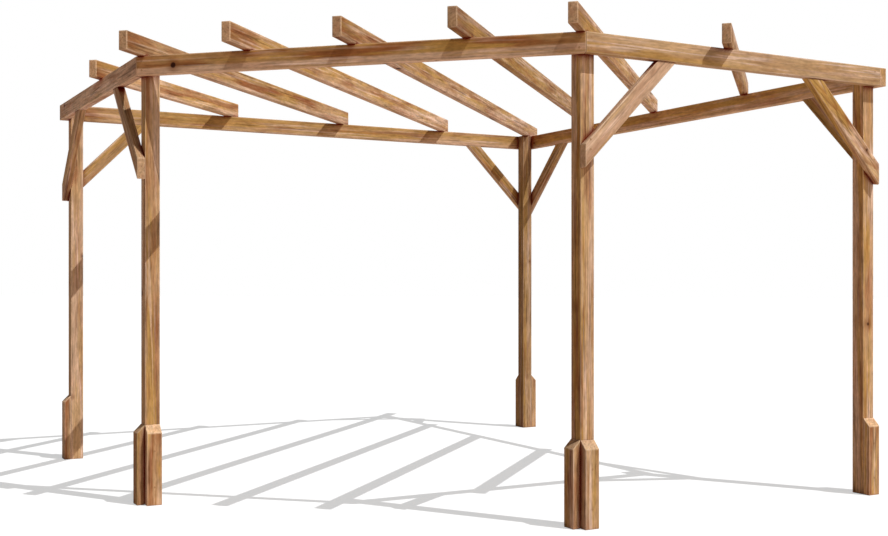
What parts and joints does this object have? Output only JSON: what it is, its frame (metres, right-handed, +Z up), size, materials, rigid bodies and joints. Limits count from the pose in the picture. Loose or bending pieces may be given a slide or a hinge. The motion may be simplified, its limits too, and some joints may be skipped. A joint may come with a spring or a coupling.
{
  "type": "timber corner pergola",
  "caption": "Free-standing five-sided timber corner pergola: square posts with bevelled foot blocks, outer beams, knee braces and open rafters laid across the top.",
  "frame": {"origin": "bottom centre of the bounding box, on the ground under the open roof", "axes": "+Z up; -Y out through the cut front side; +X to the right when facing the front from outside, so that the rafters lie along Y and the back post is at +Y"},
  "size_m": [4.971, 4.2596, 2.33],
  "materials": {
    "post_timber": "brown pressure-treated softwood, planed",
    "beam_timber": "brown pressure-treated softwood, planed",
    "rafter_timber": "brown pressure-treated softwood, planed",
    "brace_timber": "brown pressure-treated softwood, planed",
    "block_timber": "brown pressure-treated softwood, planed",
    "fixing_steel": "brown-coated wood screws"
  },
  "bodies": {
    "root": {"post_back": "post_timber", "beam_front": "beam_timber", "post_left": "post_timber", "post_front_left": "post_timber", "beam_left": "beam_timber", "beam_back_left": "beam_timber", "foot_block_back_left": "block_timber", "foot_block_left_side": "block_timber", "foot_block_left_rear": "block_timber", "foot_block_front_left_side": "block_timber", "foot_block_front_left_inner": "block_timber", "brace_left_front": "brace_timber", "brace_left_rear": "brace_timber", "brace_back_left_outer": "brace_timber", "brace_back_left_inner": "brace_timber", "post_right": "post_timber", "post_front_right": "post_timber", "beam_right": "beam_timber", "beam_back_right": "beam_timber", "foot_block_back_right": "block_timber", "foot_block_right_side": "block_timber", "foot_block_right_rear": "block_timber", "foot_block_front_right_side": "block_timber", "foot_block_front_right_inner": "block_timber", "brace_right_front": "brace_timber", "brace_right_rear": "brace_timber", "brace_back_right_outer": "brace_timber", "brace_back_right_inner": "brace_timber", "rafter_1": "rafter_timber", "rafter_2": "rafter_timber", "rafter_3": "rafter_timber", "rafter_4": "rafter_timber", "rafter_5": "rafter_timber", "rafter_6": "rafter_timber", "rafter_7": "rafter_timber"}
  },
  "joints": []
}
